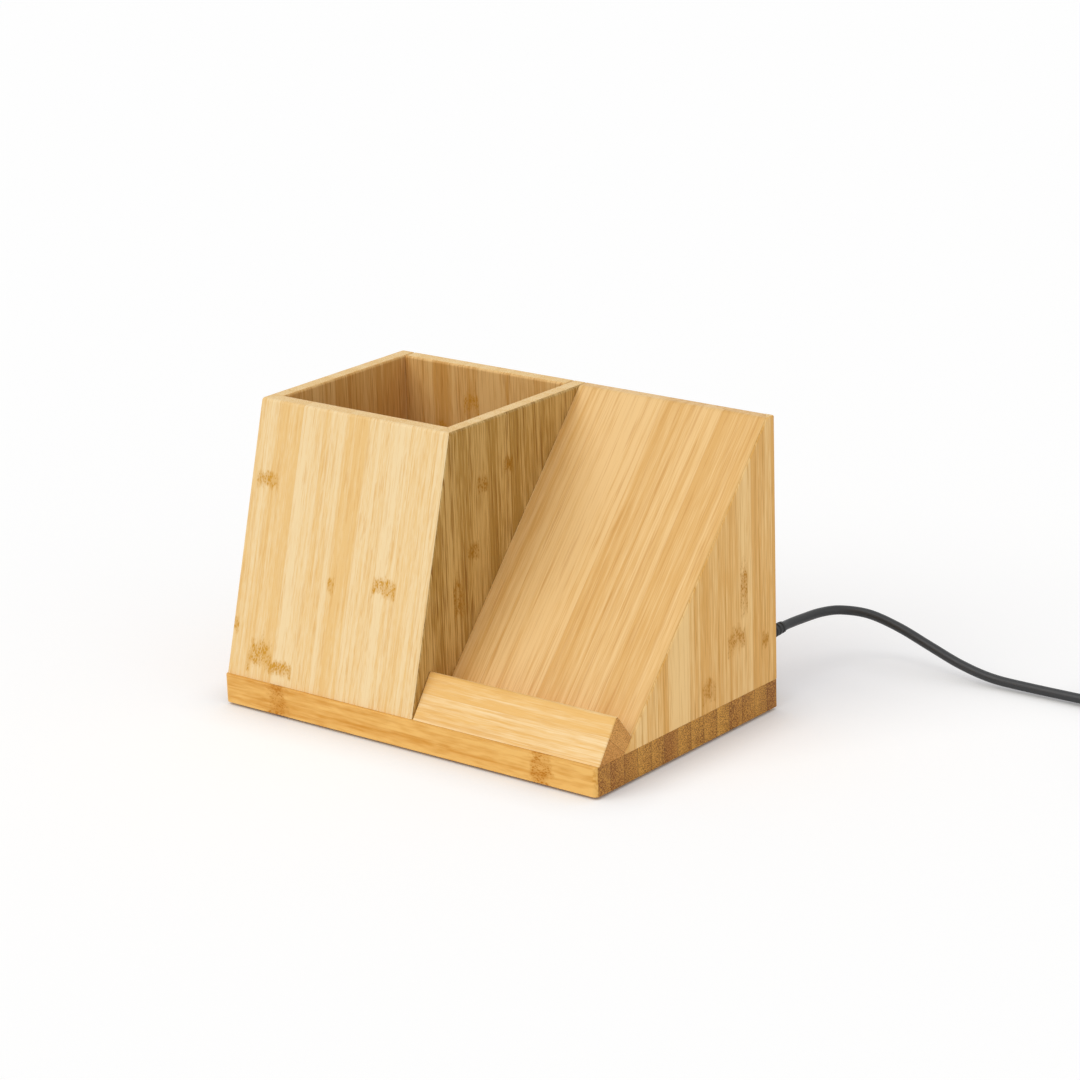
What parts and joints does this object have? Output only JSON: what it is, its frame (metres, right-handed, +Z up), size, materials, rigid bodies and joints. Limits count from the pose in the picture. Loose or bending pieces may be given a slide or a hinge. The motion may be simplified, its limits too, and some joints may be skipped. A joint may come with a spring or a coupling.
{
  "type": "wireless charger pen holder",
  "caption": "Bamboo desk organiser: a slant-fronted pen cup beside a sloped wireless charging stand with a phone rest bar, on one slab, with its power cable.",
  "frame": {"origin": "on the floor under the middle of the slab", "axes": "+X to the right as one faces the front, from the cup to the stand; +Y to the back, where the plug goes in; +Z up"},
  "size_m": [0.3208, 0.2182, 0.108],
  "materials": {
    "slab_bamboo": "satin lacquered bamboo",
    "front_bamboo": "satin lacquered bamboo",
    "side_bamboo": "satin lacquered bamboo",
    "panel_bamboo": "satin lacquered bamboo",
    "bar_bamboo": "satin lacquered bamboo",
    "foot_rubber": "matte",
    "tray_plastic": "moulded",
    "ferrite": "sintered ferrite",
    "wound_copper": "enamelled copper wire",
    "circuit_board": "solder mask",
    "chip_black": "moulded",
    "capacitor_tan": "ceramic",
    "inductor_grey": "sintered ferrite",
    "screw_steel": "zinc plated",
    "shell_nickel": "nickel plated",
    "tongue_black": "moulded",
    "adapter_tongue_white": "moulded",
    "moulded_black": "fine matte texture",
    "cord_black": "satin sheath",
    "tie_black": "woven hook and loop",
    "lead_red": "insulation",
    "lead_black": "insulation"
  },
  "bodies": {
    "organiser": {"base_slab": "slab_bamboo", "cup_front_wall": "front_bamboo", "cup_left_wall": "side_bamboo", "divider_wall": "side_bamboo", "cup_back_wall": "side_bamboo", "charging_panel": "panel_bamboo", "stand_cheek": "side_bamboo", "stand_back_panel": "side_bamboo", "phone_rest_bar": "bar_bamboo", "foot_front_left": "foot_rubber", "foot_front_right": "foot_rubber", "foot_back_left": "foot_rubber", "foot_back_right": "foot_rubber", "coil_tray": "tray_plastic", "ferrite_sheet": "ferrite", "charging_coil": "wound_copper", "main_board": "circuit_board", "controller_chip": "chip_black", "bridge_chip": "chip_black", "filter_inductor": "inductor_grey", "tuning_capacitor_1": "capacitor_tan", "tuning_capacitor_2": "capacitor_tan", "tuning_capacitor_3": "capacitor_tan", "tuning_capacitor_4": "capacitor_tan", "tray_screw_1": "screw_steel", "tray_screw_2": "screw_steel", "tray_screw_3": "screw_steel", "tray_screw_4": "screw_steel", "board_screw_1": "screw_steel", "board_screw_2": "screw_steel", "socket_bracket": "tray_plastic", "socket_board": "circuit_board", "socket_shell": "shell_nickel", "socket_tongue": "tongue_black", "socket_screw_1": "screw_steel", "socket_screw_2": "screw_steel", "supply_lead_red": "lead_red", "supply_lead_black": "lead_black"},
    "cable": {"plug_shell": "shell_nickel", "plug_body": "moulded_black", "plug_relief": "moulded_black", "cord_lead": "cord_black", "cord_coil": "cord_black", "cord_tail": "cord_black", "cord_tie": "tie_black", "adapter_relief": "moulded_black", "adapter_body": "moulded_black", "adapter_shell": "shell_nickel", "adapter_tongue": "adapter_tongue_white"}
  },
  "joints": [
    {"name": "plug_slide", "type": "slide", "parent": "organiser", "child": "cable", "axis": [0, 1, 0], "range_m": [0, 0.007]}
  ]
}
